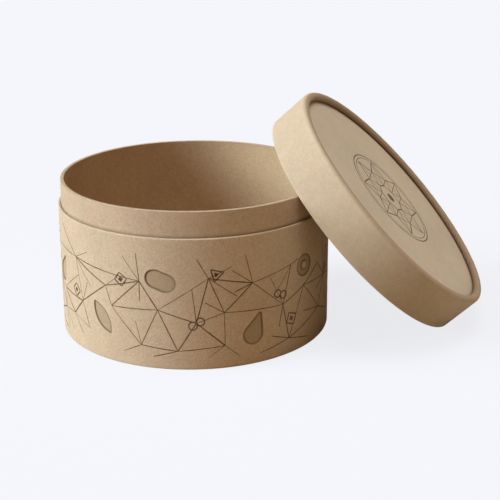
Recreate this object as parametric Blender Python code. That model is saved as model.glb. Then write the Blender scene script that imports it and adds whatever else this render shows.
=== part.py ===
"""Round lidded gift box of wound kraft board, with its lid leaning on the rim.

Metres, +Z up. The box stands on the origin with its base on Z = 0. The lid is off
and leans on the right side of the box: its lowest edge is on the table and its mouth
is hooked over the neck. Each piece of board or paper is an object of its own.
"""

import math

import bmesh
import bpy
from mathutils import Matrix, Vector

# Sheets and fits shared by the whole box
PAPER_THICKNESS = 0.0004
GLUE_GAP = 0.0003
CUT_EDGE_RADIUS = 0.0003

# Box body
BODY_RADIUS = 0.0875
SHOULDER_HEIGHT = 0.0834
BODY_TUBE_WALL = 0.0010
WRAP_TURN_IN = 0.0080
BASE_EDGE_RADIUS = 0.0010
SHOULDER_EDGE_RADIUS = 0.0004
BASE_DISC_THICKNESS = 0.0020

# Neck, the inner tube that stands above the shoulder
NECK_WALL = 0.0024
NECK_REACH = 0.0162

# Lid
LID_HEIGHT = 0.0285
LID_WALL = 0.0013
LID_SLIP = 0.0003
CURL_WIDTH = 0.0057
DISC_RECESS = 0.0044
LID_DISC_THICKNESS = 0.0020
LID_RING_WALL = 0.0016
LID_RING_HEIGHT = 0.0050

# How the lid leans: where it stands round the box, and which way its axis points
LEAN_AZIMUTH = math.radians(1.7)
LID_AXIS_AZIMUTH = math.radians(-12.8)
LID_AXIS_RISE = math.radians(43.1)
TABLE_GAP = 0.0003
RIM_GAP = 0.0003

# Facets of the round pieces, of the lid's curled edge, of a fold and of a cut edge
ROUND_STEPS = 96
CURL_STEPS = 8
CURL_INSIDE_STEPS = 4
FOLD_STEPS = 3
CUT_STEPS = 1
SHARP_ANGLE = math.radians(40)
WELD_DISTANCE = 0.00001
MOST_EDGE_SHARE = 1 / 3

# Colour and roughness of each piece
FINISHES = {
    "body_wrap": ((0.50, 0.36, 0.23), 0.80),
    "body_tube": ((0.38, 0.26, 0.16), 0.90),
    "neck_tube": ((0.44, 0.31, 0.20), 0.85),
    "base_disc": ((0.38, 0.26, 0.16), 0.90),
    "base_sheet": ((0.42, 0.30, 0.19), 0.85),
    "floor_liner": ((0.40, 0.28, 0.17), 0.85),
    "lid_tube": ((0.50, 0.36, 0.23), 0.80),
    "lid_disc": ((0.47, 0.34, 0.22), 0.80),
    "lid_ring": ((0.38, 0.26, 0.16), 0.90),
}

# Radii that follow from the fits, from the wrap inwards and from the neck outwards
BODY_TUBE_RADIUS = BODY_RADIUS - PAPER_THICKNESS - GLUE_GAP
BODY_TUBE_INNER = BODY_TUBE_RADIUS - BODY_TUBE_WALL
NECK_RADIUS = BODY_TUBE_INNER - GLUE_GAP
NECK_INNER = NECK_RADIUS - NECK_WALL
LID_INNER = NECK_RADIUS + LID_SLIP
LID_RADIUS = LID_INNER + LID_WALL

# Heights in the box, from the table up
BASE_DISC_BOTTOM = PAPER_THICKNESS + GLUE_GAP
BASE_DISC_TOP = BASE_DISC_BOTTOM + BASE_DISC_THICKNESS
NECK_FOOT = BASE_DISC_TOP + GLUE_GAP
NECK_TOP = SHOULDER_HEIGHT + NECK_REACH
BODY_TUBE_TOP = SHOULDER_HEIGHT - PAPER_THICKNESS - GLUE_GAP

# Heights in the lid, from its mouth up
LID_DISC_TOP = LID_HEIGHT - DISC_RECESS
LID_DISC_BOTTOM = LID_DISC_TOP - LID_DISC_THICKNESS
LID_RING_TOP = LID_DISC_BOTTOM - GLUE_GAP


def clear_scene():
    """Remove what is in the scene, so that the script can run again."""
    for old in list(bpy.data.objects):
        bpy.data.objects.remove(old, do_unlink=True)
    for blocks in (bpy.data.meshes, bpy.data.materials):
        for block in list(blocks):
            blocks.remove(block)


def finish(name):
    """The matt board or paper of one piece."""
    colour, roughness = FINISHES[name]
    material = bpy.data.materials.new(name + "_finish")
    material.use_nodes = True
    shader = material.node_tree.nodes["Principled BSDF"]
    shader.inputs["Base Color"].default_value = (*colour, 1.0)
    shader.inputs["Roughness"].default_value = roughness
    shader.inputs["Metallic"].default_value = 0.0
    material.diffuse_color = (*colour, 1.0)
    return material


def arc(radius_at, height_at, radius, start_degrees, end_degrees, steps):
    """Outline points on an arc round (radius_at, height_at); a corner if it has no radius."""
    if radius <= 0:
        return [(radius_at, height_at)]
    points = []
    for step in range(steps + 1):
        angle = math.radians(start_degrees + (end_degrees - start_degrees) * step / steps)
        points.append((radius_at + radius * math.cos(angle), height_at + radius * math.sin(angle)))
    return points


def turned(name, outline, parent=None, closed=True):
    """Spin an outline of (radius, height) points round Z into one round solid.

    A closed outline makes a ring. An open one starts and ends on the axis and makes a disc.
    """
    mesh = bpy.data.meshes.new(name)
    work = bmesh.new()
    verts = [work.verts.new((radius, 0, height)) for radius, height in outline]
    pairs = list(zip(verts, verts[1:]))
    if closed:
        pairs.append((verts[-1], verts[0]))
    edges = [work.edges.new(pair) for pair in pairs]
    bmesh.ops.spin(work, geom=verts + edges, axis=(0, 0, 1), cent=(0, 0, 0),
                   angle=math.tau, steps=ROUND_STEPS, use_merge=True)
    bmesh.ops.remove_doubles(work, verts=work.verts[:], dist=WELD_DISTANCE)
    bmesh.ops.recalc_face_normals(work, faces=work.faces[:])
    work.to_mesh(mesh)
    work.free()
    mesh.shade_smooth()
    mesh.set_sharp_from_angle(angle=SHARP_ANGLE)
    mesh.materials.append(finish(name))
    piece = bpy.data.objects.new(name, mesh)
    bpy.context.collection.objects.link(piece)
    piece.parent = parent
    return piece


def disc(name, radius, bottom, thickness, parent=None):
    """A flat round sheet of board or paper."""
    top = bottom + thickness
    outline = [(0, top), (radius, top), (radius, bottom), (0, bottom)]
    return turned(name, outline, parent, closed=False)


def tube(name, inner, outer, bottom, top, edge, parent=None):
    """A straight tube of board whose cut ends have softened edges."""
    edge = min(edge, (outer - inner) * MOST_EDGE_SHARE)
    outline = []
    outline += arc(outer - edge, top - edge, edge, 90, 0, CUT_STEPS)
    outline += arc(outer - edge, bottom + edge, edge, 0, -90, CUT_STEPS)
    outline += arc(inner + edge, bottom + edge, edge, -90, -180, CUT_STEPS)
    outline += arc(inner + edge, top - edge, edge, 180, 90, CUT_STEPS)
    return turned(name, outline, parent)


def build_body():
    """The box without its lid, from the printed wrap inwards."""
    wrap_foot_radius = max(BASE_EDGE_RADIUS - PAPER_THICKNESS, 0)
    fold_radius = BODY_RADIUS - BASE_EDGE_RADIUS
    wrap = []
    wrap += [(BODY_TUBE_INNER, SHOULDER_HEIGHT)]
    wrap += arc(BODY_RADIUS - SHOULDER_EDGE_RADIUS, SHOULDER_HEIGHT - SHOULDER_EDGE_RADIUS,
                SHOULDER_EDGE_RADIUS, 90, 0, CUT_STEPS)
    wrap += arc(fold_radius, BASE_EDGE_RADIUS, BASE_EDGE_RADIUS, 0, -90, FOLD_STEPS)
    wrap += [(BODY_RADIUS - WRAP_TURN_IN, 0), (BODY_RADIUS - WRAP_TURN_IN, PAPER_THICKNESS)]
    wrap += arc(fold_radius, PAPER_THICKNESS + wrap_foot_radius, wrap_foot_radius, -90, 0, FOLD_STEPS)
    wrap += [(BODY_RADIUS - PAPER_THICKNESS, SHOULDER_HEIGHT - PAPER_THICKNESS)]
    wrap += [(BODY_TUBE_INNER, SHOULDER_HEIGHT - PAPER_THICKNESS)]
    turned("body_wrap", wrap)

    tube_foot_radius = max(BASE_EDGE_RADIUS - PAPER_THICKNESS - GLUE_GAP, 0)
    tube("body_tube", BODY_TUBE_INNER, BODY_TUBE_RADIUS, BASE_DISC_BOTTOM, BODY_TUBE_TOP,
         tube_foot_radius)
    tube("neck_tube", NECK_INNER, NECK_RADIUS, NECK_FOOT, NECK_TOP, CUT_EDGE_RADIUS)
    disc("base_disc", BODY_TUBE_INNER - GLUE_GAP, BASE_DISC_BOTTOM, BASE_DISC_THICKNESS)
    disc("base_sheet", BODY_RADIUS - WRAP_TURN_IN - GLUE_GAP, 0, PAPER_THICKNESS)
    disc("floor_liner", NECK_INNER - GLUE_GAP, NECK_FOOT, PAPER_THICKNESS)


def lean_frame():
    """Where the leaning lid's mouth is, as a matrix whose Z is the lid's axis.

    The mouth's lowest edge is just above the table. Where the near side of its inner
    edge comes down to the height of the neck's rim, it is just outside the neck.
    """
    rise, turn = LID_AXIS_RISE, LID_AXIS_AZIMUTH
    axis = Vector((math.cos(rise) * math.cos(turn), math.cos(rise) * math.sin(turn), math.sin(rise)))
    across = Vector((-math.sin(turn), math.cos(turn), 0))
    downhill = across.cross(axis)
    away = Vector((math.cos(LEAN_AZIMUTH), math.sin(LEAN_AZIMUTH), 0))

    mouth_height = LID_RADIUS * math.cos(rise) + TABLE_GAP
    up_slope = (NECK_TOP - mouth_height) / math.cos(rise)
    aside = math.sqrt(LID_INNER ** 2 - up_slope ** 2)
    hook = (-downhill * up_slope - across * aside).xy
    reach = -hook.dot(away.xy)
    reach += math.sqrt(hook.dot(away.xy) ** 2 - hook.length_squared + (NECK_RADIUS + RIM_GAP) ** 2)
    place = away * reach + Vector((0, 0, mouth_height))
    return Matrix.Translation(place) @ Matrix((downhill, across, axis)).transposed().to_4x4()


def build_lid():
    """The lid, modelled upright on its mouth and leaned by the empty that carries it."""
    lean = bpy.data.objects.new("lid_lean", None)
    bpy.context.collection.objects.link(lean)
    lean.matrix_world = lean_frame()

    curl = CURL_WIDTH / 2
    curl_at = LID_RADIUS - curl
    curl_height = LID_HEIGHT - curl
    curl_tip = LID_DISC_TOP + GLUE_GAP
    edge = min(CUT_EDGE_RADIUS, LID_WALL * MOST_EDGE_SHARE)
    skirt = []
    skirt += [(LID_RADIUS - CURL_WIDTH, curl_tip)]
    skirt += arc(curl_at, curl_height, curl, 180, 0, CURL_STEPS)
    skirt += arc(LID_RADIUS - edge, edge, edge, 0, -90, CUT_STEPS)
    skirt += arc(LID_INNER + edge, edge, edge, -90, -180, CUT_STEPS)
    skirt += arc(curl_at, curl_height, curl - LID_WALL, 0, 180, CURL_INSIDE_STEPS)
    skirt += [(LID_RADIUS - CURL_WIDTH + LID_WALL, curl_tip)]
    turned("lid_tube", skirt, lean)

    disc("lid_disc", LID_INNER - GLUE_GAP, LID_DISC_BOTTOM, LID_DISC_THICKNESS, lean)
    tube("lid_ring", LID_INNER - GLUE_GAP - LID_RING_WALL, LID_INNER - GLUE_GAP,
         LID_RING_TOP - LID_RING_HEIGHT, LID_RING_TOP, 0, lean)


clear_scene()
build_body()
build_lid()
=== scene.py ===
"""Looks of the round lidded box: kraft papers, wound board, printed lines and pressed shapes.

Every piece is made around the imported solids, in metres, in their frame. The lid's pieces are
made in the lid's own frame: Z is its axis, and the origin is the centre of its mouth.
"""

import math

import bmesh
import bpy
import numpy as np
from mathutils import Matrix, Vector


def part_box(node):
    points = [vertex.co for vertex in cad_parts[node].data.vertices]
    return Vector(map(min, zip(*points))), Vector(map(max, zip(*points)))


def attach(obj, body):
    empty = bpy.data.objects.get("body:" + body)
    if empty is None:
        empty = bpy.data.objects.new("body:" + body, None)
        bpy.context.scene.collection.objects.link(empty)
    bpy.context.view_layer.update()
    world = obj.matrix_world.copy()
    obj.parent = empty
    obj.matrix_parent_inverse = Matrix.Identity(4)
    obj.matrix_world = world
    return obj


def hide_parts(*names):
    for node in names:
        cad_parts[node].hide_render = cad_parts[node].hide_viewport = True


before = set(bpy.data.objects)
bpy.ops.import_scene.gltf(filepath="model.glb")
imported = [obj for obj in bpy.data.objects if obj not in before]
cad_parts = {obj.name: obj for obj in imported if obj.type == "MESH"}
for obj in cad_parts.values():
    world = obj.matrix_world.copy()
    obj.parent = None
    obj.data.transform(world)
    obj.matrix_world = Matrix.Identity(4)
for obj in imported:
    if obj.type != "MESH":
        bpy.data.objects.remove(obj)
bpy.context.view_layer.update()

MM = 0.001

# Camera, fitted to the outlines of the box in the photo's 500 x 500 frame
CAMERA_PLACE = Vector((0.0, -0.7723, 0.3143))
CAMERA_YAW = 0.04682
CAMERA_PITCH = 0.33424
CAMERA_ROLL = -0.00434
FRAME_PIXELS = 500
FOCAL_PIXELS = 1239.24
SENSOR_WIDTH_MM = 36

# Floor, backdrop and the light from all round
BACKDROP = (0.913, 0.922, 0.965)
FLOOR_SPAN = 4.0
FLOOR_DROP = 0.02 * MM
FLOOR_SHADED = (0.79, 0.77, 0.85)
FLOOR_SHADE_SHARE = 0.13
FLOOR_BOUNCE = (0.385, 0.228, 0.115)
# Towards +X the floor returns paler light: start and end of each change, and its colour
FLOOR_BOUNCE_CHANGES = [
    (-0.01, 0.08, (0.390, 0.295, 0.180)),
    (0.13, 0.20, (0.72, 0.66, 0.55)),
]
AMBIENT_COLOUR = (1.0, 0.56, 0.18)
AMBIENT_STRENGTH = 0.166
# Lamps: name, degrees round the object from the camera's side, degrees up, strength, softness, colour.
# At strength 1 a white surface that faces the lamp renders white.
LAMPS = [
    ("key", -82, 22, 1.47, 34, (0.76, 0.94, 1.00)),
    ("top", 0, 83, 0.60, 34, (0.90, 0.955, 0.935)),
]

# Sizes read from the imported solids
WRAP_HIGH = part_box("body_wrap")[1]
TUBE_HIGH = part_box("body_tube")[1]
NECK_LOW, NECK_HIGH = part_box("neck_tube")
LINER_LOW, LINER_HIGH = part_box("floor_liner")
SHEET_LOW, SHEET_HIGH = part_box("base_sheet")
BODY_RADIUS = WRAP_HIGH.x
SHOULDER = WRAP_HIGH.z
NECK_RADIUS = NECK_HIGH.x
NECK_TOP = NECK_HIGH.z

# The gap at glued joints, and how far cut board's edges are rounded
GLUE_GAP = 0.3 * MM
CUT_SOFTNESS = 0.35 * MM

# Facets round and along the pieces, and steps on their folds and cut edges
NECK_COLUMNS = 720
WRAP_COLUMNS = 540
WRAP_ROWS = 64
LID_COLUMNS = 480
SHEET_COLUMNS = 240
SHEET_RINGS = 12
UNDER_RINGS = 6
FOLD_STEPS = 6
CUT_STEPS = 5
RIM_STEPS = 4
MOUTH_STEPS = 3
SHEET_STEPS = 3
SHARP_ANGLE = math.radians(40)

# Wear of the paper, from 0 to 1
EDGE_WEAR = 0.05
NEAR_RIM_WEAR = 0.10
CURL_WEAR = 0.12
FOLD_WEAR = 0.30
CUT_WEAR = 0.40
RIM_WEAR = 0.45
MOUTH_WEAR = 0.50
RAW_WEAR = 0.80

# The wrap: folded in at the shoulder and under the base, its end glued over its start
SHOULDER_FOLD = 0.55 * MM
SHOULDER_LIP = 0.25 * MM
SHOULDER_LIP_DROP = 0.35 * MM
BASE_FOLD = 1.0 * MM
TURN_IN = 8.0 * MM
WALL_TOP_DROP = 1.6 * MM
WALL_FOOT = 2.2 * MM
TUBE_SIDE_GAP = 0.03 * MM
TUBE_TOP_GAP = 0.1 * MM
WALL_TOLERANCE = 0.01 * MM
FLAP_STEP = 0.10 * MM
FLAP_ANGLE = math.radians(104)
FLAP_WIDTH = math.radians(8)
WALL_REACH = 1.5 * FLAP_STEP
# Painted shade on the ledge where the wrap folds in at the shoulder
LEDGE_SHADE = 0.22

# Shapes pressed into the wrap, the painted shade in their creases, with finer faces this far outside and
# inside each edge
PRESS_DEPTH = 0.45 * MM
PRESS_WALL = 0.35 * MM
CREASE_IN = 0.15 * MM
CREASE_REACH = 0.60 * MM
FINE_OUT = 2.6 * MM
FINE_IN = 1.6 * MM
FINE_CUTS = 4
# Pressing raises the paper a little just outside each shape, where a lighter ring is painted on it: a painted
# highlight
BURR_OFF = 1.1 * MM
BURR_REACH = 0.6 * MM
BURR_HEIGHT = 0.05 * MM
BURR_HIGHLIGHT = 0.8
# Kind, degrees round the body, height and half-length as shares of the shoulder's height, and
# degrees of tilt. The camera looks at -90 degrees.
PRESSED_SHARES = [
    ("leaf", -131, 0.33, 0.135, 35),
    ("pebble", -104, 0.68, 0.115, 70),
    ("drop", -66, 0.28, 0.125, -20),
    ("ring", -40, 0.66, 0.085, 0),
    ("leaf", -4, 0.36, 0.130, -40),
    ("drop", 32, 0.62, 0.115, 25),
    ("pebble", 68, 0.34, 0.110, -15),
    ("ring", 128, 0.34, 0.090, 0),
    ("leaf", 160, 0.64, 0.125, 30),
    ("drop", -162, 0.56, 0.115, -30),
]
# Each kind's own form, as shares of its half-length
RING_SHARES = (0.68, 0.30)
PEBBLE_SHARES = (0.80, 0.20)
PEBBLE_SLOPE_SHARE = 0.95
LEAF_SIDE_SHARE = 0.95
DROP_SHARES = (0.62, 0.10, 1.28)

# The neck, with close rows near the shoulder, where painted shade darkens its foot
NECK_WALL = 2.4 * MM
NECK_OUTER_EDGE = 1.2 * MM
NECK_INNER_EDGE = 1.4 * MM
NECK_ROWS = [height * MM for height in (2.4, 1.8, 1.2, 0.6, 0, -2)]
NECK_FOOT_SHADE = 0.5
NECK_FOOT_REACH = 1.9 * MM
# Painted shade on the top of the cut rim
RIM_SHADE = 0.16
RIM_SHADE_REACH = 0.6 * MM
# Small errors of hand-made board, as waves round it
RIM_DIP = 0.10 * MM
RIM_WAVES = 3
RIM_PHASE = 0.7
NECK_OVAL = 0.10 * MM
OVAL_WAVES = 2
OVAL_PHASE = 0.5

# The papers inside and under the box
SHEET_SOFT_SHARE = 0.4
COCKLE = 0.08 * MM
COCKLE_SWELL = 4
COCKLE_WAVES = 5
COCKLE_PHASE = 1

# The lid
LID_HEIGHT = 28.5 * MM
LID_WALL = 1.3 * MM
SKIRT_INSET = 0.04 * MM
SKIRT_ROWS = 8
SKIRT_OUTER_EDGE = 1.4 * MM
SKIRT_INNER_EDGE = 1.6 * MM
PANEL_RINGS = 10
DISC_RECESS = 4.4 * MM
DISC_THICKNESS = 2.0 * MM
RING_HEIGHT = 5.0 * MM
RING_WALL = 1.6 * MM
# The curl: its radius, and the degrees round its section where its rows start or end
CURL = 5.7 * MM / 2
CURL_TIP_START = 178
CURL_TIP_STEPS = 6
CURL_TOP_START = 175
CURL_TOP_STEPS = 22
CURL_INSIDE_END = 165
CURL_INSIDE_STEPS = 8
CURL_INSET = 0.02 * MM
CURL_DROP = 0.04 * MM
CURL_RIPPLE = 0.018 * MM
CURL_SWAY_SHARE = 0.5
CURL_WAVES = ((61, 0), (17, 1), (43, 2))
# Painted shade: the curl darkens from these degrees on, towards its foot where it meets the panel, and so
# does the panel beside it, in close rows
CURL_SHADE_FROM = 84
CURL_SHADE_POWER = 1.7
CURL_TOLERANCE = 0.1 * MM
PANEL_SHADE = 0.7
PANEL_SHADE_REACH = 2.8 * MM
PANEL_SHADE_POWER = 1.8
PANEL_ROWS = [out * MM for out in (-2.8, -2.2, -1.7, -1.2, -0.8, -0.4, 0, 0.4)]

# Printed strokes, which thin towards their ends, and dots
LINE_WIDTH = 0.66 * MM
LINE_PROUD = 0.03 * MM
LINE_SUNK = 0.03 * MM
LINE_STEP = 1.5 * MM
LINE_END_SHARE = 0.72
LINE_TAPER = 6
DOT_SHARE = 0.85
DOT_SIDES = 10

# The network's band, as shares of the shoulder's height, and its loose grid of hubs
BAND_SHARES = (0.07, 0.93)
PATTERN_SEED = 3
HUB_COLUMNS = 22
HUB_ROWS = 3
HUB_FIRST_SHARE = 0.15
HUB_STEP_SHARE = 0.27
HUB_SHAKE_SHARES = (0.34, 0.10)
HUB_SPOT = 0.01 * MM
HUB_DOT_STROKES = 4
# Strokes between hubs, and rays that run out free from them
LONGEST_STROKE_SHARE = 0.14
SKIPPED_SHARE = 0.10
STROKE_WIDTH_SHARES = (0.5, 1.3)
STROKE_GAP = math.radians(15)
RAY_TRIES = 10
RAY_LENGTHS_MM = (12, 28)
RAY_WIDTH_SHARES = (0.4, 1.0)
RAY_GAP = math.radians(20)
MARGIN_SHARE = 1.04
MEETING_SHARE = 0.02
PARALLEL = 1e-12

# Small printed figures: kind, degrees round the body, height share, half-size share, degrees of tilt
FIGURE_SHARES = [
    ("lozenge", -121, 0.66, 0.052, 10),
    ("rings", -90, 0.36, 0.056, 30),
    ("triangle", -82, 0.73, 0.056, 15),
    ("rings", -54, 0.50, 0.052, -20),
    ("lozenge", -48, 0.28, 0.056, 25),
    ("triangle", -19, 0.52, 0.056, -10),
    ("rings", 14, 0.30, 0.052, 0),
    ("lozenge", 50, 0.52, 0.056, 20),
    ("triangle", 90, 0.62, 0.056, 0),
    ("rings", 146, 0.56, 0.052, 40),
    ("triangle", -176, 0.30, 0.056, 35),
    ("lozenge", -148, 0.46, 0.052, 0),
]
FIGURE_SIDES = {"lozenge": 4, "triangle": 3}
FIGURE_LINE_SHARE = 1.3
FIGURE_CORE_SHARE = 0.42
FIGURE_RING_SHARE = 0.55
FIGURE_RING_SIDES = 18

# The lid's rosette: radius and width shares of its rings, then radii and stroke widths of its star
ROSETTE_RADIUS = 36 * MM
ROSETTE_RING_SIDES = 96
ROSETTE_RING_SHARES = ((1.0, 1.25), (0.93, 0.75))
ROSETTE_POINTS = 8
ROSETTE_STAR_SHARES = (0.90, 0.60, 0.30, 0.10)
ROSETTE_STROKE_SHARES = (1.4, 0.8)

# Colours of papers, board and ink. The worn colour also paints a highlight just outside the pressed shapes.
KRAFT = (0.590, 0.435, 0.311)
KRAFT_NECK = (0.537, 0.381, 0.268)
KRAFT_SKIRT = (0.496, 0.360, 0.256)
KRAFT_PANEL = (0.702, 0.579, 0.462)
KRAFT_INSIDE = (0.508, 0.345, 0.214)
BOARD = (0.460, 0.335, 0.220)
WORN_AND_HIGHLIGHT = (0.645, 0.505, 0.375)
INK = (0.100, 0.052, 0.024)

# Noises: scale per metre, detail, roughness, and the values that become -1 and 1
MOTTLE = (30.0, 4.0, 0.55, 0.35, 0.65)
CLOUD = (240.0, 3.0, 0.60, 0.30, 0.70)
SPECKLE = (800.0, 4.0, 0.75, 0.30, 0.70)
TINT = (85.0, 2.0, 0.50, 0.35, 0.65)
FIBRE = (1.0, 2.0, 0.55, 0.32, 0.68)
INK_PATCH = (160.0, 3.0, 0.60, 0.30, 0.70)
INK_GRAIN = (1500.0, 2.0, 0.60, 0.30, 0.70)
# Upright and level fibres: the noise's scale per metre on each axis, and its offset
FIBRE_WAYS = [
    ((1900.0, 1900.0, 260.0), (0.0, 0.0, 0.0)),
    ((300.0, 300.0, 2100.0), (3.0, 7.0, 5.0)),
]
FIBRE_BEND = 12 * MM
FIBRE_BEND_NOISE = {"Scale": 90.0, "Detail": 1.0}

# How far each noise shifts a paper's tone, and the tint its red and green
MOTTLE_TONE = 0.035
CLOUD_TONE = 0.028
SPECKLE_TONE = 0.082
FIBRE_TONE = 0.040
RED_TINT = 0.012
GREEN_TINT = -0.007
# Flecks, in cells of random colours: which cells have each kind, its strength and its tone share
FLECK_SCALE = 330.0
FLECK_CORE = 0.07
FLECK_EDGE = 0.16
FLECK_SHARES = [
    ("Red", "LESS_THAN", 0.16, 0.45, 0.45),
    ("Green", "GREATER_THAN", 0.90, 0.30, 1.35),
]
PALEST = 0.9
# Marked places: point attribute, how far it takes the tone, and the tone as shares of the colour.
# The first is painted shade on the wrap's ledge, the neck's foot and rim top, and round the lid's curl and
# the panel beside it. The second is the pressed paper's own darker tone. The third is painted shade in the
# creases round the pressed shapes.
SHADE_SHARES = [
    ("painted_shade", 0.95, (0.165, 0.062, 0.012)),
    ("pressed", 0.60, (0.64, 0.59, 0.50)),
    ("crease_shade", 0.80, (0.25, 0.21, 0.16)),
]
WEAR_EVEN_SHARE = 0.65
WEAR_PATCHY_SHARE = 0.35
# Plies of wound board, seen on cut and worn edges
PLY_THICKNESS = 0.4 * MM
PLY_RELIEF = 0.6
PLY_SHADE = 0.22
PLY_TONE_SHARE = 0.55

# Surfaces of the papers and the ink
SKIN_DEPTH = 0.10 * MM
PAPER_RELIEF = 0.24
SPECKLE_RELIEF = 0.5
FIBRE_RELIEF = 0.7
PAPER_ROUGHNESS = 0.84
SPECKLE_ROUGHNESS = 0.05
PAPER_SPECULAR = 0.04
SHEEN = 0.02
SHEEN_ROUGHNESS = 0.5
INK_FADE = 0.14
INK_GRAIN_FADE = 0.14
INK_PATCH_FADE = 0.18
INK_RELIEF = 0.2
INK_ROUGHNESS = 0.7
INK_GRAIN_ROUGHNESS = 0.08
INK_SPECULAR = 0.08
# A mix node's sockets for colours
MIX_FACTOR, MIX_FIRST, MIX_SECOND, MIX_RESULT = 0, 6, 7, 2


def points_of(mesh):
    """The places of a mesh's points, one row for each."""
    return np.array([vertex.co for vertex in mesh.vertices])


def lid_frame(points):
    """The lid's own frame, found from its turned tube: Z along the axis, X downhill, mouth at 0."""
    centre = points.mean(axis=0)
    axis = np.linalg.svd(points - centre, full_matrices=False)[2][2]
    axis = axis if axis[2] > 0 else -axis
    mouth = centre + axis * ((points - centre) @ axis).min()
    up = Vector(axis)
    along = Vector((0, 0, 1)).cross(up).normalized()
    return Matrix.Translation(mouth) @ Matrix((along.cross(up), along, up)).transposed().to_4x4()


LID_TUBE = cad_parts["lid_tube"].data
LID_FRAME = lid_frame(points_of(LID_TUBE))
LID_RADIUS = max((LID_FRAME.inverted() @ vertex.co).xy.length for vertex in LID_TUBE.vertices)

# Sizes worked out from those above
WRAP_SURFACE = BODY_RADIUS - FLAP_STEP - LINE_PROUD
GIRTH = math.tau * BODY_RADIUS
BAND_LOW, BAND_HIGH = (share * SHOULDER for share in BAND_SHARES)
PANEL_TOP = LID_HEIGHT - DISC_RECESS
PANEL_LOW = PANEL_TOP - DISC_THICKNESS
LID_SURFACE = LID_RADIUS - SKIRT_INSET
LID_INNER = LID_SURFACE - LID_WALL
PANEL_RADIUS = LID_INNER - GLUE_GAP
# The curl turns back under itself by some degrees before it meets the panel, at its tip
CURL_CENTRE = (LID_SURFACE - CURL, LID_HEIGHT - CURL)
CURL_TURN = math.degrees(math.asin((LID_HEIGHT - CURL - PANEL_TOP) / CURL))
CURL_TIP = LID_SURFACE - CURL - CURL * math.cos(math.radians(CURL_TURN))


def arc(radius_at, height_at, radius, start_degrees, end_degrees, steps, wear_and_highlight=0.0):
    """Outline points on an arc, as (radius, height, wear)."""
    points = []
    for step in range(steps + 1):
        angle = math.radians(start_degrees + (end_degrees - start_degrees) * step / steps)
        points.append((radius_at + radius * math.cos(angle), height_at + radius * math.sin(angle), wear_and_highlight))
    return points


def run(start, end, steps, wear_and_highlight=0.0):
    """Outline points from start towards end, with both ends left out."""
    points = []
    for step in range(1, steps):
        share = step / steps
        points.append((start[0] + (end[0] - start[0]) * share, start[1] + (end[1] - start[1]) * share, wear_and_highlight))
    return points


def add_object(name, data):
    """A new object in the scene."""
    made = bpy.data.objects.new(name, data)
    bpy.context.scene.collection.objects.link(made)
    return made


def new_piece(name, verts, faces):
    """A new mesh object."""
    mesh = bpy.data.meshes.new(name)
    mesh.from_pydata([tuple(vert) for vert in verts], [], faces)
    return add_object(name, mesh)


def smooth(mesh):
    """Shade a mesh smooth, but for its sharp edges."""
    mesh.shade_smooth()
    mesh.set_sharp_from_angle(angle=SHARP_ANGLE)


def mark(piece, name, values):
    """Keep a number for each point of a piece, for its material to read."""
    layer = piece.data.attributes.new(name, "FLOAT", "POINT")
    layer.data.foreach_set("value", np.asarray(values, dtype=np.float32))


def settle(piece, body, material, slot, *replaced):
    """Fix a finished piece to a body. Its material goes by where its points were made."""
    mesh = piece.data
    mesh.materials.append(material)
    layer = mesh.attributes.new("made_at", "FLOAT_VECTOR", "POINT")
    layer.data.foreach_set("vector", points_of(mesh).astype(np.float32).ravel())
    if body == "lid":
        mesh.transform(LID_FRAME)
    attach(piece, body)
    if replaced:
        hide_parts(*replaced)


def radii_and_heights(piece):
    """Each point's distance from the piece's own Z axis, and its height."""
    places = points_of(piece.data)
    return np.hypot(places[:, 0], places[:, 1]), places[:, 2]


def lathe(name, outline, columns, closed=True, shape=None):
    """Turn an outline of (radius, height, wear) round Z, down its outer side first.

    shape(angle, radius, height) may return changed radii and heights. An open outline
    starts and ends on the axis.
    """
    rows = np.array(outline)
    radius, height, wear_and_highlight = (np.repeat(rows[:, [part]], columns, axis=1) for part in range(3))
    turn = np.repeat([np.arange(columns) * math.tau / columns], len(rows), axis=0)
    if shape is not None:
        radius, height = shape(turn, radius, height)
    verts = np.stack([radius * np.cos(turn), radius * np.sin(turn), height], axis=-1).reshape(-1, 3)
    here = np.arange(radius.size).reshape(radius.shape)
    beside = np.roll(here, -1, axis=1)
    faces = np.stack([here, np.roll(here, -1, axis=0), np.roll(beside, -1, axis=0), beside], axis=-1)
    faces = faces[:len(rows) if closed else -1].reshape(-1, 4).tolist()
    wear_and_highlight = wear_and_highlight.ravel()
    if not closed:
        top, bottom = radius.size, radius.size + 1
        verts = np.vstack([verts, [(0, 0, rows[0, 1]), (0, 0, rows[-1, 1])]])
        wear_and_highlight = np.append(wear_and_highlight, [0, 0])
        for first, after, last, last_after in zip(here[0], beside[0], here[-1], beside[-1]):
            faces += [(top, first, after), (bottom, last_after, last)]
    piece = new_piece(name, verts, faces)
    smooth(piece.data)
    mark(piece, "wear_and_highlight", wear_and_highlight)
    return piece


def add_node(tree, kind, inputs=None, **settings):
    """A shader node. Each input is a value or another node's output."""
    node = tree.nodes.new("ShaderNode" + kind)
    for name, value in settings.items():
        setattr(node, name, value)
    for key, source in (inputs or {}).items():
        socket = node.inputs[key]
        if isinstance(source, bpy.types.NodeSocket):
            tree.links.new(source, socket)
        elif socket.type == "RGBA":
            socket.default_value = (*source, 1.0)
        else:
            socket.default_value = source
    return node


def math_node(tree, operation, *sources):
    """The output of a maths node."""
    return add_node(tree, "Math", dict(enumerate(sources)), operation=operation).outputs[0]


def scaled(tree, value, factor, *added):
    """A value times a factor, plus what is added."""
    return math_node(tree, "MULTIPLY_ADD" if added else "MULTIPLY", value, factor, *added)


def vector_node(tree, operation, *sources):
    """A vector maths node."""
    return add_node(tree, "VectorMath", dict(enumerate(sources)), operation=operation)


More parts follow.
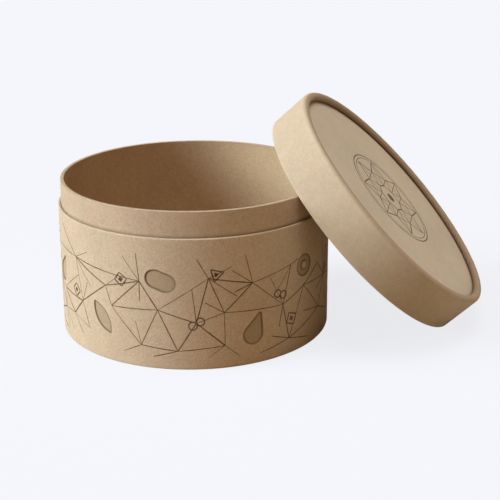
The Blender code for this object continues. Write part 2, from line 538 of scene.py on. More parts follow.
def mix_colour(tree, amount, first, second, blend="MIX"):
    """The output of a colour mix."""
    inputs = {MIX_FACTOR: amount, MIX_FIRST: first, MIX_SECOND: second}
    return add_node(tree, "Mix", inputs, data_type="RGBA", blend_type=blend).outputs[MIX_RESULT]


def map_range(tree, value, low, high, start=0.0, end=1.0):
    """A value that runs from start to end while its source runs from low to high."""
    inputs = {"Value": value, "From Min": low, "From Max": high, "To Min": start, "To Max": end}
    return add_node(tree, "MapRange", inputs).outputs["Result"]


def noise_output(tree, places, noise):
    """One of the noises above, stretched so that it runs from -1 to 1."""
    scale, detail, roughness, low, high = noise
    inputs = {"Vector": places, "Scale": scale, "Detail": detail, "Roughness": roughness}
    return map_range(tree, add_node(tree, "TexNoise", inputs).outputs["Fac"], low, high, -1.0)


def fibre_output(tree, places, stretch, offset):
    """Short fibres: noise stretched along one axis, bent by a slower noise so that they wander."""
    bend = add_node(tree, "TexNoise", {"Vector": places, **FIBRE_BEND_NOISE})
    centred = vector_node(tree, "SUBTRACT", bend.outputs["Color"], (0.5, 0.5, 0.5))
    bent = vector_node(tree, "MULTIPLY_ADD", centred.outputs[0], (FIBRE_BEND,) * 3, places)
    placed = add_node(tree, "Mapping", {"Vector": bent.outputs[0], "Location": offset, "Scale": stretch})
    return noise_output(tree, placed.outputs[0], FIBRE)


def attribute(tree, name, output="Fac"):
    """What each point of a piece keeps under a name."""
    return add_node(tree, "Attribute", attribute_name=name).outputs[output]


def new_material(name):
    """A new material, and its node tree."""
    material = bpy.data.materials.new(name)
    material.use_nodes = True
    return material, material.node_tree


def set_surface(tree, colour, roughness, relief, relief_strength, specular):
    """Feed a material's shader, and return it."""
    bump = add_node(tree, "Bump", {"Strength": relief_strength, "Distance": SKIN_DEPTH, "Height": relief})
    shader = tree.nodes["Principled BSDF"]
    tree.links.new(colour, shader.inputs["Base Color"])
    tree.links.new(roughness, shader.inputs["Roughness"])
    tree.links.new(bump.outputs["Normal"], shader.inputs["Normal"])
    shader.inputs["Specular IOR Level"].default_value = specular
    return shader


def paper_tone(tree, places, cloud, speckle, fibres, grain):
    """The uneven tone of a paper, as a colour to multiply its own by."""
    tone = scaled(tree, noise_output(tree, places, MOTTLE), MOTTLE_TONE, 1.0)
    tone = scaled(tree, cloud, CLOUD_TONE, tone)
    tone = scaled(tree, speckle, SPECKLE_TONE * grain, tone)
    tone = scaled(tree, fibres, FIBRE_TONE * grain, tone)
    tint = noise_output(tree, places, TINT)
    red = scaled(tree, tint, RED_TINT, tone)
    green = scaled(tree, tint, GREEN_TINT, tone)
    return add_node(tree, "CombineColor", {"Red": red, "Green": green, "Blue": tone}).outputs[0]


def add_flecks(tree, places, base, colour):
    """The base with dark and pale flecks in it."""
    cells = add_node(tree, "TexVoronoi", {"Vector": places, "Scale": FLECK_SCALE})
    near = map_range(tree, cells.outputs["Distance"], FLECK_CORE, FLECK_EDGE, 1.0, 0.0)
    cell_colour = add_node(tree, "SeparateColor", {"Color": cells.outputs["Color"]})
    for channel, comparison, limit_share, strength, tone_share in FLECK_SHARES:
        chosen = math_node(tree, comparison, cell_colour.outputs[channel], limit_share)
        amount = scaled(tree, scaled(tree, near, chosen), strength)
        base = mix_colour(tree, amount, base, tuple(min(part * tone_share, PALEST) for part in colour))
    return base


def ply_output(tree, places, wear_and_highlight):
    """The layers of wound board, from -1 to 1, where it is worn or cut."""
    flat = vector_node(tree, "MULTIPLY", places, (1, 1, 0))
    out = vector_node(tree, "LENGTH", flat.outputs[0]).outputs["Value"]
    layers = math_node(tree, "SINE", scaled(tree, out, math.tau / PLY_THICKNESS))
    return scaled(tree, layers, wear_and_highlight)


def kraft(name, colour, grain=1.0, plies=False, solid=False):
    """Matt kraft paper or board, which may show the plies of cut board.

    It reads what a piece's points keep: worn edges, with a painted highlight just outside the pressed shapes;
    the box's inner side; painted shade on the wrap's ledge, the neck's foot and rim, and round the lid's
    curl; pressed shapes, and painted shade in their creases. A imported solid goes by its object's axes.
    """
    material, tree = new_material(name)
    if solid:
        places = add_node(tree, "TexCoord").outputs["Object"]
    else:
        places = attribute(tree, "made_at", "Vector")
    cloud = noise_output(tree, places, CLOUD)
    speckle = noise_output(tree, places, SPECKLE)
    upright, level = (fibre_output(tree, places, *way) for way in FIBRE_WAYS)
    fibres = math_node(tree, "MAXIMUM", upright, level)
    tone = paper_tone(tree, places, cloud, speckle, fibres, grain)
    base = add_flecks(tree, places, mix_colour(tree, 1.0, colour, tone, "MULTIPLY"), colour)

    # Worn edges, and a painted highlight just outside the pressed shapes
    wear_and_highlight = attribute(tree, "wear_and_highlight")
    patches = scaled(tree, cloud, WEAR_PATCHY_SHARE, WEAR_EVEN_SHARE)
    base = mix_colour(tree, scaled(tree, wear_and_highlight, patches), base, WORN_AND_HIGHLIGHT)
    inner = mix_colour(tree, 1.0, KRAFT_INSIDE, tone, "MULTIPLY")
    base = mix_colour(tree, attribute(tree, "inside"), base, inner)
    # Painted shade, and the pressed paper's darker tone
    for mark_name, strength, tone_shares in SHADE_SHARES:
        amount = scaled(tree, attribute(tree, mark_name), strength)
        shade = tuple(part * share for part, share in zip(colour, tone_shares))
        base = mix_colour(tree, amount, base, shade)

    relief = scaled(tree, speckle, SPECKLE_RELIEF, scaled(tree, fibres, FIBRE_RELIEF))
    if plies:
        layers = ply_output(tree, places, wear_and_highlight)
        relief = scaled(tree, layers, PLY_RELIEF, relief)
        amount = scaled(tree, math_node(tree, "MAXIMUM", layers, 0.0), PLY_SHADE)
        base = mix_colour(tree, amount, base, tuple(part * PLY_TONE_SHARE for part in colour))
    rough = scaled(tree, speckle, SPECKLE_ROUGHNESS, PAPER_ROUGHNESS)
    shader = set_surface(tree, base, rough, relief, PAPER_RELIEF * grain, PAPER_SPECULAR)
    shader.inputs["Sheen Weight"].default_value = SHEEN
    shader.inputs["Sheen Roughness"].default_value = SHEEN_ROUGHNESS
    return material


def ink(name, colour):
    """Thin dark print that sinks unevenly into the paper."""
    material, tree = new_material(name)
    places = attribute(tree, "made_at", "Vector")
    grain = noise_output(tree, places, INK_GRAIN)
    fade = scaled(tree, grain, INK_GRAIN_FADE, INK_FADE)
    fade = scaled(tree, noise_output(tree, places, INK_PATCH), INK_PATCH_FADE, fade)
    rough = scaled(tree, grain, INK_GRAIN_ROUGHNESS, INK_ROUGHNESS)
    set_surface(tree, mix_colour(tree, fade, colour, KRAFT), rough, grain, INK_RELIEF, INK_SPECULAR)
    return material


paper = kraft("printed_kraft_paper", KRAFT, grain=2.0)
skirt_paper = kraft("lid_skirt_paper", KRAFT_SKIRT, grain=0.9)
panel_paper = kraft("lid_panel_paper", KRAFT_PANEL, grain=0.55)
neck_paper = kraft("neck_kraft_board", KRAFT_NECK, grain=1.7, plies=True)
raw_board = kraft("raw_kraft_board", BOARD, grain=1.3, plies=True, solid=True)
ring_board = kraft("cut_ring_board", BOARD, grain=1.3, plies=True)
lining = kraft("plain_kraft_paper", KRAFT_INSIDE)
print_ink = ink("dark_brown_ink", INK)


def drop_distance(across, up, half):
    """Signed distance to a drop's edge: a large circle below, a small one above, and their tangents."""
    large, small, gap = (half * share for share in DROP_SHARES)
    aside, rise = np.abs(across), up + half - large
    lean = (large - small) / gap
    slope = math.sqrt(1 - lean * lean)
    along = -aside * lean + rise * slope
    round_end = np.hypot(aside, rise) - large
    pointed_end = np.hypot(aside, rise - gap) - small
    flank = aside * slope + rise * lean - large
    return np.where(along < 0, round_end, np.where(along > slope * gap, pointed_end, flank))


def leaf_distance(across, up, half):
    """Signed distance to a leaf's edge: two arcs that meet in a tip at both ends."""
    side = half * LEAF_SIDE_SHARE
    aside = np.abs(across)
    beyond = (np.abs(up) - half) * side > aside * half
    tip = np.hypot(aside, np.abs(up) - half)
    flank = np.hypot(aside + side, up) - math.hypot(half, side)
    return np.where(beyond, tip, flank)


def shape_distance(kind, across, up, half):
    """Signed distance to a pressed shape's edge: below zero inside it. half is half its length."""
    if kind == "drop":
        return drop_distance(across, up, half)
    if kind == "leaf":
        return leaf_distance(across, up, half)
    distance = np.hypot(across, up)
    if kind == "ring":
        middle, half_width = (half * share for share in RING_SHARES)
        return np.abs(distance - middle) - half_width
    mean_share, swell_share = PEBBLE_SHARES
    reach = half * (mean_share + swell_share * np.cos(2 * np.arctan2(across, up)))
    return (distance - reach) * PEBBLE_SLOPE_SHARE


def depths_inside(turn, height):
    """How deep each place on the body lies inside the pressed shapes, with one row for each shape."""
    rows = []
    for kind, degrees, up_share, half_share, tilt in PRESSED_SHARES:
        turned = (turn - math.radians(degrees) + math.pi) % math.tau - math.pi
        across, up = turned * BODY_RADIUS, height - up_share * SHOULDER
        lean = math.radians(tilt)
        tilted_across = across * math.cos(lean) + up * math.sin(lean)
        tilted_up = up * math.cos(lean) - across * math.sin(lean)
        rows.append(-shape_distance(kind, tilted_across, tilted_up, half_share * SHOULDER))
    return np.array(rows)


def pressed_share(turn, height):
    """How far places are pressed in, how much painted shade their creases get, and how near they are to a
    burr, from 0 to 1.
    """
    inside = depths_inside(turn, height)
    share = np.clip(inside / PRESS_WALL + 0.5, 0, 1).max(axis=0)
    crease_shade = np.exp(-((inside - CREASE_IN) / CREASE_REACH) ** 2).max(axis=0)
    burr = np.exp(-((inside + BURR_OFF) / BURR_REACH) ** 2).max(axis=0)
    return share * share * (3 - 2 * share), crease_shade, burr


def flap_rise(turn):
    """How far the wrap's overlapping end stands out where it is glued over its start."""
    after = (turn - FLAP_ANGLE) % math.tau
    return FLAP_STEP * np.clip(1 - after / FLAP_WIDTH, 0, 1) * (after < FLAP_WIDTH)


def wrap_outline():
    """The wrap's section: shoulder fold, wall, fold under the base, and back up inside."""
    inner = NECK_RADIUS + GLUE_GAP / 2
    behind = TUBE_HIGH.x + TUBE_SIDE_GAP
    edge = BODY_RADIUS - TURN_IN
    top, foot = (WRAP_SURFACE, SHOULDER - WALL_TOP_DROP), (WRAP_SURFACE, WALL_FOOT)
    return [
        (inner, SHOULDER - SHOULDER_LIP_DROP, 0),
        (inner + SHOULDER_LIP, SHOULDER, 0),
        *arc(WRAP_SURFACE - SHOULDER_FOLD, SHOULDER - SHOULDER_FOLD, SHOULDER_FOLD, 90, 0, FOLD_STEPS),
        (*top, NEAR_RIM_WEAR),
        *run(top, foot, WRAP_ROWS),
        (*foot, EDGE_WEAR),
        *arc(WRAP_SURFACE - BASE_FOLD, BASE_FOLD, BASE_FOLD, 0, -90, FOLD_STEPS, FOLD_WEAR),
        (edge, 0, 0),
        (edge, SHEET_HIGH.z, 0),
        (behind - CUT_SOFTNESS, SHEET_HIGH.z, 0),
        (behind, SHEET_HIGH.z + CUT_SOFTNESS, 0),
        (behind, TUBE_HIGH.z + TUBE_TOP_GAP, 0),
        (inner, TUBE_HIGH.z + TUBE_TOP_GAP, 0),
    ]


def wrap_shape(turn, radius, height):
    """The wrap's overlap, which fades into the wall on one side."""
    outer = np.abs(radius - WRAP_SURFACE) < WALL_TOLERANCE
    return radius + flap_rise(turn) * outer, height


def on_wall(vert):
    """Whether a point lies on the wrap's wall or its overlap."""
    return abs(vert.co.xy.length - WRAP_SURFACE) < WALL_REACH


def split_near_shapes(work):
    """Split the wall's faces finely round the edges of the pressed shapes."""
    wall = [face for face in work.faces if all(on_wall(vert) for vert in face.verts)]
    middles = np.array([face.calc_center_median() for face in wall])
    inside = depths_inside(np.arctan2(middles[:, 1], middles[:, 0]), middles[:, 2])
    near = ((inside > -FINE_OUT) & (inside < FINE_IN)).any(axis=0)
    edges = {edge for face, chosen in zip(wall, near) if chosen for edge in face.edges}
    bmesh.ops.subdivide_edges(work, edges=list(edges), cuts=FINE_CUTS, use_grid_fill=True)


def press_shapes(piece):
    """Press the shapes into the wrap's wall, and mark their darker paper, the painted shade in their creases
    and the painted highlight just outside them.
    """
    work = bmesh.new()
    work.from_mesh(piece.data)
    split_near_shapes(work)
    pressed_layer = work.verts.layers.float.new("pressed")
    crease_shade_layer = work.verts.layers.float.new("crease_shade")
    wear_and_highlight_layer = work.verts.layers.float["wear_and_highlight"]
    top = SHOULDER - SHOULDER_FOLD
    wall = [vert for vert in work.verts if on_wall(vert) and BASE_FOLD < vert.co.z < top]
    places = np.array([vert.co for vert in wall])
    turn = np.arctan2(places[:, 1], places[:, 0])
    pressed, crease_shade, burr = pressed_share(turn, places[:, 2])
    radius = WRAP_SURFACE + flap_rise(turn) - PRESS_DEPTH * pressed + BURR_HEIGHT * burr
    for vert, angle, out, depth, edge, painted_highlight in zip(wall, turn, radius, pressed, crease_shade, burr):
        vert.co.x, vert.co.y = out * math.cos(angle), out * math.sin(angle)
        vert[pressed_layer] = depth
        # Painted shade in the creases round the shape
        vert[crease_shade_layer] = edge
        # The worn colour as a painted highlight just outside the shape
        vert[wear_and_highlight_layer] = max(vert[wear_and_highlight_layer], BURR_HIGHLIGHT * painted_highlight)
    work.to_mesh(piece.data)
    work.free()
    smooth(piece.data)


wrap = lathe("printed_wrap", wrap_outline(), WRAP_COLUMNS, shape=wrap_shape)
press_shapes(wrap)
radii, heights = radii_and_heights(wrap)
# Painted shade on the ledge at the shoulder's fold
ledge = (heights > SHOULDER - SHOULDER_FOLD) & (radii < WRAP_SURFACE - SHOULDER_FOLD / 2)
mark(wrap, "painted_shade", LEDGE_SHADE * ledge)
settle(wrap, "box", paper, "printed_wrap", "body_wrap")


def neck_outline():
    """The neck tube's section, with the softened edges of cut board at its rim."""
    soft, inner = CUT_SOFTNESS, NECK_RADIUS - NECK_WALL
    return [
        *arc(NECK_RADIUS - soft, NECK_TOP - soft, soft, 90, 0, CUT_STEPS, CUT_WEAR),
        (NECK_RADIUS, NECK_TOP - NECK_OUTER_EDGE, NEAR_RIM_WEAR),
        *((NECK_RADIUS, SHOULDER + height, 0) for height in NECK_ROWS),
        (NECK_RADIUS, NECK_LOW.z, 0),
        (inner, NECK_LOW.z, 0),
        (inner, NECK_TOP - NECK_INNER_EDGE, EDGE_WEAR),
        *arc(inner + soft, NECK_TOP - soft, soft, 180, 90, CUT_STEPS, CUT_WEAR),
        *run((inner + soft, NECK_TOP), (NECK_RADIUS - soft, NECK_TOP), RIM_STEPS, RIM_WEAR),
    ]


def neck_shape(turn, radius, height):
    """The cut rim isn't quite level, and the tube isn't quite round."""
    at_rim = np.clip((height - SHOULDER) / (NECK_TOP - SHOULDER), 0, 1)
    dip = RIM_DIP * (1 + np.sin(RIM_WAVES * turn + RIM_PHASE) * np.cos(OVAL_WAVES * turn)) * at_rim * at_rim
    oval = NECK_OVAL * (1 + np.cos(OVAL_WAVES * turn - OVAL_PHASE)) * at_rim
    return radius - oval, height - dip


neck = lathe("neck", neck_outline(), NECK_COLUMNS, shape=neck_shape)
radii, heights = radii_and_heights(neck)
mark(neck, "inside", radii < NECK_RADIUS - NECK_WALL + CUT_SOFTNESS / 2)
# Painted shade on the neck's foot above the shoulder, and on the top of its rim
foot_shade = NECK_FOOT_SHADE * np.clip(1 - (heights - SHOULDER) / NECK_FOOT_REACH, 0, 1)
rim_shade = RIM_SHADE * (heights > NECK_TOP - RIM_SHADE_REACH)
mark(neck, "painted_shade", foot_shade * (radii > NECK_RADIUS - NECK_WALL / 2) + rim_shade)
settle(neck, "box", neck_paper, "neck_board", "neck_tube")


def sheet_outline(low, high):
    """The section of a round sheet that fills this box, from its top middle to its underside middle."""
    radius = high.x
    soft = (high.z - low.z) * SHEET_SOFT_SHARE
    return [
        *run((0, high.z), (radius, high.z), SHEET_RINGS),
        *arc(radius - soft, high.z - soft, soft, 90, 0, SHEET_STEPS, FOLD_WEAR),
        *arc(radius - soft, low.z + soft, soft, 0, -90, SHEET_STEPS, FOLD_WEAR),
        *run((radius, low.z), (0, low.z), UNDER_RINGS),
    ]


def liner_shape(turn, radius, height):
    """Paper glued to the floor cockles a little."""
    share = radius / LINER_HIGH.x
    wave = COCKLE * np.sin(COCKLE_WAVES * turn + COCKLE_PHASE) * share * share * (1 - share) * COCKLE_SWELL
    upper = height > (LINER_LOW.z + LINER_HIGH.z) / 2
    return radius, height - COCKLE * upper + wave * upper


liner_outline = sheet_outline(LINER_LOW, LINER_HIGH)
liner = lathe("floor_paper", liner_outline, SHEET_COLUMNS, closed=False, shape=liner_shape)
settle(liner, "box", lining, "liner_paper", "floor_liner")

under = lathe("base_paper_sheet", sheet_outline(SHEET_LOW, SHEET_HIGH), SHEET_COLUMNS, closed=False)
settle(under, "box", lining, "base_paper", "base_sheet")

for name in ("body_tube", "base_disc"):
    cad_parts[name].data.materials.clear()
    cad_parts[name].data.materials.append(raw_board)


def skirt_outline():
    """The lid tube's section: curled edge, skirt, cut mouth, and back up inside the curl."""
    soft = CUT_SOFTNESS
    return [
        *arc(*CURL_CENTRE, CURL, CURL_TIP_START + CURL_TURN, 180, CURL_TIP_STEPS),
        *arc(*CURL_CENTRE, CURL, CURL_TOP_START, 0, CURL_TOP_STEPS, CURL_WEAR),
        *run((LID_SURFACE, LID_HEIGHT - CURL), (LID_SURFACE, SKIRT_OUTER_EDGE), SKIRT_ROWS),
        (LID_SURFACE, SKIRT_OUTER_EDGE, EDGE_WEAR),
        *arc(LID_SURFACE - soft, soft, soft, 0, -90, CUT_STEPS, CUT_WEAR),
        *run((LID_SURFACE - soft, 0), (LID_INNER + soft, 0), MOUTH_STEPS, MOUTH_WEAR),
        *arc(LID_INNER + soft, soft, soft, -90, -180, CUT_STEPS, CUT_WEAR),
        (LID_INNER, SKIRT_INNER_EDGE, EDGE_WEAR),
        *arc(*CURL_CENTRE, CURL - LID_WALL, 0, CURL_INSIDE_END, CURL_INSIDE_STEPS),
    ]


def skirt_shape(turn, radius, height):
    """Rolling the edge leaves it very slightly uneven."""
    curled = np.clip((height - (LID_HEIGHT - 2 * CURL)) / (2 * CURL), 0, 1)
    fine, slow, other = (np.sin(count * turn + phase) for count, phase in CURL_WAVES)
    ripple = CURL_RIPPLE * (fine * slow + other) * curled
    return radius - CURL_INSET * curled + ripple * CURL_SWAY_SHARE, height - CURL_DROP * curled + ripple


skirt = lathe("curled_lid_skirt", skirt_outline(), LID_COLUMNS, shape=skirt_shape)
radii, heights = radii_and_heights(skirt)
# Painted shade on the curl's inner half, darkest at its foot beside the panel
inner_half = (radii < LID_SURFACE - CURL / 2) & (heights > PANEL_TOP - CURL_TOLERANCE)
rounded = np.degrees(np.arctan2(heights - CURL_CENTRE[1], radii - CURL_CENTRE[0])) % 360
inward = np.clip((rounded - CURL_SHADE_FROM) / (180 + CURL_TURN - CURL_SHADE_FROM), 0, 1)
mark(skirt, "painted_shade", inner_half * inward ** CURL_SHADE_POWER)
settle(skirt, "lid", skirt_paper, "lid_board", "lid_tube")


def panel_outline():
    """The panel's section, with close rows where the curl meets it."""
    return [
        *run((0, PANEL_TOP), (CURL_TIP, PANEL_TOP), PANEL_RINGS),
        *((CURL_TIP + out, PANEL_TOP, 0) for out in PANEL_ROWS),
        (PANEL_RADIUS, PANEL_TOP, 0),
        (PANEL_RADIUS, PANEL_LOW, 0),
        *run((PANEL_RADIUS, PANEL_LOW), (0, PANEL_LOW), UNDER_RINGS),
    ]


panel = lathe("lid_panel", panel_outline(), LID_COLUMNS, closed=False)
radii, heights = radii_and_heights(panel)
# Painted shade on the panel's top beside the curl's foot
beside = np.clip(1 - (CURL_TIP - radii) / PANEL_SHADE_REACH, 0, 1) ** PANEL_SHADE_POWER
mark(panel, "painted_shade", PANEL_SHADE * beside * (heights > (PANEL_LOW + PANEL_TOP) / 2))
settle(panel, "lid", panel_paper, "lid_panel", "lid_disc")


def ring_outline():
    """The inner ring's section, with softened cut edges."""
    soft = CUT_SOFTNESS
    top, low = PANEL_LOW - GLUE_GAP - soft, PANEL_LOW - GLUE_GAP - RING_HEIGHT + soft
    outer, inner = PANEL_RADIUS - soft, PANEL_RADIUS - RING_WALL + soft
    return [
        *arc(outer, top, soft, 90, 0, RIM_STEPS, MOUTH_WEAR),
        *arc(outer, low, soft, 0, -90, RIM_STEPS, RAW_WEAR),
        *arc(inner, low, soft, -90, -180, RIM_STEPS, RAW_WEAR),
        *arc(inner, top, soft, 180, 90, RIM_STEPS, MOUTH_WEAR),
    ]


ring = lathe("lid_inner_ring", ring_outline(), LID_COLUMNS)
settle(ring, "lid", ring_board, "ring_board", "lid_ring")


def on_body(across, up, out):
    """A point on the wrap, out from its surface. across is the distance round the body."""
    turn = across / BODY_RADIUS
    radius = WRAP_SURFACE + float(flap_rise(np.array(turn))) + out
    return Vector((radius * math.cos(turn), radius * math.sin(turn), up))


def on_panel(across, along, out):
    """A point on the lid's top panel, out from its surface."""
    return Vector((across, along, PANEL_TOP + out))


def circle_points(sides, radius, centre=Vector((0, 0)), first_angle=0.0):
    """Evenly spread points on a circle."""
    turns = [first_angle + math.tau * side / sides for side in range(sides)]
    return [centre + Vector((math.cos(turn), math.sin(turn))) * radius for turn in turns]


class Pen:
    """Printed strokes and dots gathered into one mesh, each a thin closed strip."""

    def __init__(self, surface):
        self.surface = surface
        self.verts = []
        self.faces = []

    def strip(self, path, widths, closed=False):
        """A stroke along (u, v) points in metres, with the width at each."""
        count = len(path)
        first = len(self.verts)
        for index, point in enumerate(path):
            before = path[index - 1] if index or closed else point
            after = path[(index + 1) % count] if index + 1 < count or closed else point
            along = (after - before).normalized()
            side = Vector((-along.y, along.x)) * widths[index] / 2
            for place, out in ((point + side, LINE_PROUD), (point - side, LINE_PROUD),
                               (point - side, -LINE_SUNK), (point + side, -LINE_SUNK)):
                self.verts.append(self.surface(place.x, place.y, out))
        for index in range(count if closed else count - 1):
            here = first + index * 4
            there = first + ((index + 1) % count) * 4
            for side in range(4):
                after = (side + 1) % 4
                self.faces.append((here + side, here + after, there + after, there + side))
        if not closed:
            last = first + (count - 1) * 4
            self.faces.append((first + 3, first + 2, first + 1, first))
            self.faces.append((last, last + 1, last + 2, last + 3))

    def line(self, start, end, width):
        """A straight stroke that thins a little towards both ends."""
        count = max(2, math.ceil((end - start).length / LINE_STEP) + 1)
        shares = [index / (count - 1) for index in range(count)]
        full_shares = [min(1, LINE_TAPER * min(share, 1 - share)) for share in shares]
        widths = [width * (LINE_END_SHARE + (1 - LINE_END_SHARE) * full) for full in full_shares]
        self.strip([start.lerp(end, share) for share in shares], widths)

    def circle(self, points, width):
        """A closed stroke of one width."""
        self.strip(points, [width] * len(points), closed=True)

    def patch(self, corners):
        """A small filled mark with the given corners."""
        sides = len(corners)
        first = len(self.verts)
        for out in (LINE_PROUD, -LINE_SUNK):
            self.verts += [self.surface(corner.x, corner.y, out) for corner in corners]
        self.faces.append(tuple(range(first, first + sides)))
        self.faces.append(tuple(range(first + 2 * sides - 1, first + sides - 1, -1)))
        for index in range(sides):
            after = (index + 1) % sides
            self.faces.append((first + after, first + index, first + sides + index, first + sides + after))

    def piece(self, name):
        """The finished mesh, its faces turned outwards."""
        made = new_piece(name, self.verts, self.faces)
        work = bmesh.new()
        work.from_mesh(made.data)
        bmesh.ops.recalc_face_normals(work, faces=work.faces[:])
        work.to_mesh(made.data)
        work.free()
        made.data.shade_flat()
        return made


def unrolled(degrees, up_share):
    """A place on the body's unrolled surface: its distance round the body, and its height."""
    return Vector((math.radians(degrees) * BODY_RADIUS, up_share * SHOULDER))


def way_between(start, end):
    """The shortest way over the body's surface from one place to another."""
    return Vector(((end.x - start.x + GIRTH / 2) % GIRTH - GIRTH / 2, end.y - start.y))


def clear_of_shapes(start, end):
    """Whether a stroke passes beside every pressed shape."""
    way = end - start
    for _, degrees, up_share, half_share, _ in PRESSED_SHARES:
        centre = way_between(start, unrolled(degrees, up_share))
        share = min(max(centre.dot(way) / way.length_squared, 0), 1)
        if (centre - way * share).length < half_share * SHOULDER * MARGIN_SHARE:
            return False
    return True


def network_hubs(random):
    """Meeting points of the strokes: a loose grid, shaken, that keeps off the pressed shapes."""
    hubs = []
    across_shake, up_shake = HUB_SHAKE_SHARES
    for column in range(HUB_COLUMNS):
        for row in range(HUB_ROWS):
            column_at = column + 0.5 * (row % 2) + random.uniform(-across_shake, across_shake)
            up_share = HUB_FIRST_SHARE + HUB_STEP_SHARE * row + random.uniform(-up_shake, up_shake)
            hub = Vector((column_at / HUB_COLUMNS * GIRTH, BAND_LOW + (BAND_HIGH - BAND_LOW) * up_share))
            if clear_of_shapes(hub, hub + Vector((HUB_SPOT, 0))):
                hubs.append(hub)
    return hubs


def area(first, second):
    """The area that two ways span, below zero where the second lies clockwise."""
    return first.x * second.y - first.y * second.x


def crosses(start, way, other, other_way):
    """Whether two strokes cross anywhere but at their ends."""
    offset = way_between(start, other)
    whole = area(way, other_way)
    if abs(whole) < PARALLEL:
        return False
    meeting_shares = (area(offset, other_way) / whole, area(offset, way) / whole)
    return all(MEETING_SHARE < share < 1 - MEETING_SHARE for share in meeting_shares)


def blocked(start, way, strokes):
    """Whether a stroke would cross a pressed shape or another stroke."""
    return not clear_of_shapes(start, start + way) or any(crosses(start, way, *stroke) for stroke in strokes)


def crowded(taken, heading, gap):
    """Whether a stroke would leave a hub too close to one that is there."""
    return any(abs((heading - other + math.pi) % math.tau - math.pi) < gap for other in taken)


def join_hubs(pen, random, hubs, headings, strokes):
    """Straight strokes between near hubs, the shortest first, that cross nothing."""
    pairs = []
    for first in range(len(hubs)):
        for second in range(first + 1, len(hubs)):
            way = way_between(hubs[first], hubs[second])
            pairs.append((way.length, first, second, way))
    pairs.sort(key=lambda pair: pair[0])
    for length, first, second, way in pairs:
        start = hubs[first]
        heading, back = math.atan2(way.y, way.x), math.atan2(-way.y, -way.x)
        if length > LONGEST_STROKE_SHARE * GIRTH or random.uniform() < SKIPPED_SHARE:
            continue
        if crowded(headings[first], heading, STROKE_GAP) or crowded(headings[second], back, STROKE_GAP):
            continue
        if blocked(start, way, strokes):
            continue
        headings[first].append(heading)
        headings[second].append(back)
        strokes.append((start, way))
        pen.line(start, start + way, LINE_WIDTH * random.uniform(*STROKE_WIDTH_SHARES))


def add_rays(pen, random, hub, taken, strokes):
    """Strokes that run out free from a hub, where they cross nothing."""
    for _ in range(RAY_TRIES):
        heading = random.uniform(-math.pi, math.pi)
        way = Vector((math.cos(heading), math.sin(heading))) * (random.uniform(*RAY_LENGTHS_MM) * MM)
        end = hub + way
        if not BAND_LOW < end.y < BAND_HIGH or crowded(taken, heading, RAY_GAP) or blocked(hub, way, strokes):
            continue
        taken.append(heading)
        strokes.append((hub, way))
        pen.line(hub, end, LINE_WIDTH * random.uniform(*RAY_WIDTH_SHARES))


def draw_network(pen):
    """The hubs' strokes, then a dot on each busy hub and its rays."""
    random = np.random.default_rng(PATTERN_SEED)
    hubs = network_hubs(random)
    headings = [[] for _ in hubs]
    strokes = []
    join_hubs(pen, random, hubs, headings, strokes)
    for hub, taken in zip(hubs, headings):
        if len(taken) > HUB_DOT_STROKES:
            pen.patch(circle_points(DOT_SIDES, LINE_WIDTH * DOT_SHARE, hub))
        add_rays(pen, random, hub, taken, strokes)


def draw_figure(pen, kind, centre, half, tilt):
    """A tiny line figure of a plain kind."""
    width = LINE_WIDTH * FIGURE_LINE_SHARE
    lean = math.radians(tilt)
    if kind == "rings":
        radius = half * FIGURE_RING_SHARE
        for way in (1, -1):
            middle = centre + Vector((math.cos(lean), math.sin(lean))) * radius * way
            pen.circle(circle_points(FIGURE_RING_SIDES, radius, middle), width)
        return
    sides = FIGURE_SIDES[kind]
    outer = circle_points(sides, half, centre, lean)
    for index, corner in enumerate(outer):
        pen.line(corner, outer[(index + 1) % sides], width)
    pen.patch([centre + (corner - centre) * FIGURE_CORE_SHARE for corner in outer])


body_pen = Pen(on_body)
draw_network(body_pen)
for kind, degrees, up_share, half_share, tilt in FIGURE_SHARES:
    draw_figure(body_pen, kind, unrolled(degrees, up_share), half_share * SHOULDER, tilt)
network = body_pen.piece("printed_lines")
settle(network, "box", print_ink, "printed_wrap")


def draw_rosette(pen):
    """A plain geometric rosette: an eight-pointed star of straight strokes in a double ring."""
    for radius_share, width_share in ROSETTE_RING_SHARES:
        points = circle_points(ROSETTE_RING_SIDES, ROSETTE_RADIUS * radius_share)
        pen.circle(points, LINE_WIDTH * width_share)
    outer_out, middle_out, inner_out, eye_out = (ROSETTE_RADIUS * share for share in ROSETTE_STAR_SHARES)
    outer = circle_points(ROSETTE_POINTS, outer_out)
    middle = circle_points(ROSETTE_POINTS, middle_out, first_angle=math.pi / ROSETTE_POINTS)
    inner = circle_points(ROSETTE_POINTS, inner_out)
    pen.patch(circle_points(ROSETTE_POINTS, eye_out))
    bold, fine = (LINE_WIDTH * share for share in ROSETTE_STROKE_SHARES)
    for index in range(ROSETTE_POINTS):
        after = (index + 1) % ROSETTE_POINTS
        pen.line(outer[index], middle[index], bold)
        pen.line(middle[index], outer[after], bold)
        pen.line(middle[index], middle[after], fine)
        pen.line(inner[index], inner[after], bold)
        pen.line(inner[index], middle[index], fine)
        pen.line(middle[index], inner[after], fine)
        pen.line(inner[index], outer[index], fine)


panel_pen = Pen(on_panel)
draw_rosette(panel_pen)
rosette = panel_pen.piece("printed_rosette")
settle(rosette, "lid", print_ink, "lid_panel")


def split_by_ray(tree, output_name, lighting, shown):
    """Show one shader to the camera and in reflections, and light the object with the other."""
    path = add_node(tree, "LightPath")
    seen = math_node(tree, "MAXIMUM", path.outputs["Is Camera Ray"], path.outputs["Is Glossy Ray"])
    mix = add_node(tree, "MixShader", {0: seen, 1: lighting.outputs[0], 2: shown.outputs[0]})
    tree.links.new(mix.outputs[0], tree.nodes[output_name].inputs["Surface"])


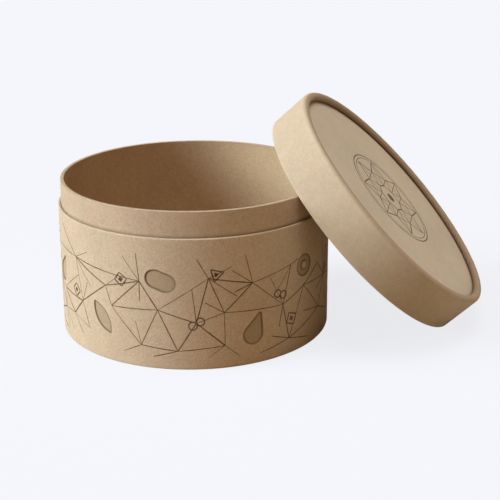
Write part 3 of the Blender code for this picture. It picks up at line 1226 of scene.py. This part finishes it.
def build_floor():
    """A pale floor that keeps the object's shadow, and lights the object's foot in kraft tones."""
    half = FLOOR_SPAN / 2
    corners = [(x, y, -FLOOR_DROP) for x, y in ((-half, -half), (half, -half), (half, half), (-half, half))]
    floor = new_piece("floor", corners, [(0, 1, 2, 3)])
    material, tree = new_material("pale_floor")
    place = add_node(tree, "SeparateXYZ", {"Vector": add_node(tree, "TexCoord").outputs["Object"]})
    bounce_colour = FLOOR_BOUNCE
    for start, end, colour in FLOOR_BOUNCE_CHANGES:
        share = map_range(tree, place.outputs["X"], start, end)
        bounce_colour = mix_colour(tree, share, bounce_colour, colour)
    bounce = add_node(tree, "BsdfDiffuse", {"Color": bounce_colour})
    shaded = add_node(tree, "BsdfDiffuse", {"Color": FLOOR_SHADED})
    plain = add_node(tree, "Emission", {"Color": BACKDROP})
    shown = add_node(tree, "MixShader", {0: 1 - FLOOR_SHADE_SHARE, 1: shaded.outputs[0], 2: plain.outputs[0]})
    split_by_ray(tree, "Material Output", bounce, shown)
    floor.data.materials.append(material)


def build_backdrop():
    """A pale backdrop that lights the object warmly from all round."""
    world = bpy.data.worlds.new("studio")
    world.use_nodes = True
    tree = world.node_tree
    ambient = add_node(tree, "Background", {"Color": AMBIENT_COLOUR, "Strength": AMBIENT_STRENGTH})
    shown = add_node(tree, "Background", {"Color": BACKDROP})
    split_by_ray(tree, "World Output", ambient, shown)
    bpy.context.scene.world = world


def build_lamps():
    """Soft far lamps, as large panels give in a studio."""
    for name, degrees, up, strength, softness, colour in LAMPS:
        data = bpy.data.lights.new(name, "SUN")
        data.energy = strength * math.pi
        data.angle = math.radians(softness)
        data.color = colour
        lamp = add_object(name, data)
        lamp.rotation_euler = (math.radians(90 - up), 0, math.radians(degrees))


def build_camera():
    """The camera that the photo's outlines were fitted with."""
    data = bpy.data.cameras.new("camera")
    data.sensor_fit = "HORIZONTAL"
    data.sensor_width = SENSOR_WIDTH_MM
    data.lens = FOCAL_PIXELS * SENSOR_WIDTH_MM / FRAME_PIXELS
    camera = add_object("camera", data)
    aimed = Matrix.Rotation(-CAMERA_YAW, 4, "Z") @ Matrix.Rotation(math.pi / 2 - CAMERA_PITCH, 4, "X")
    rolled = Matrix.Rotation(CAMERA_ROLL, 4, "Z")
    camera.matrix_world = Matrix.Translation(CAMERA_PLACE) @ aimed @ rolled
    bpy.context.scene.camera = camera


build_floor()
build_backdrop()
build_lamps()
build_camera()
bpy.context.scene.view_settings.view_transform = "Standard"
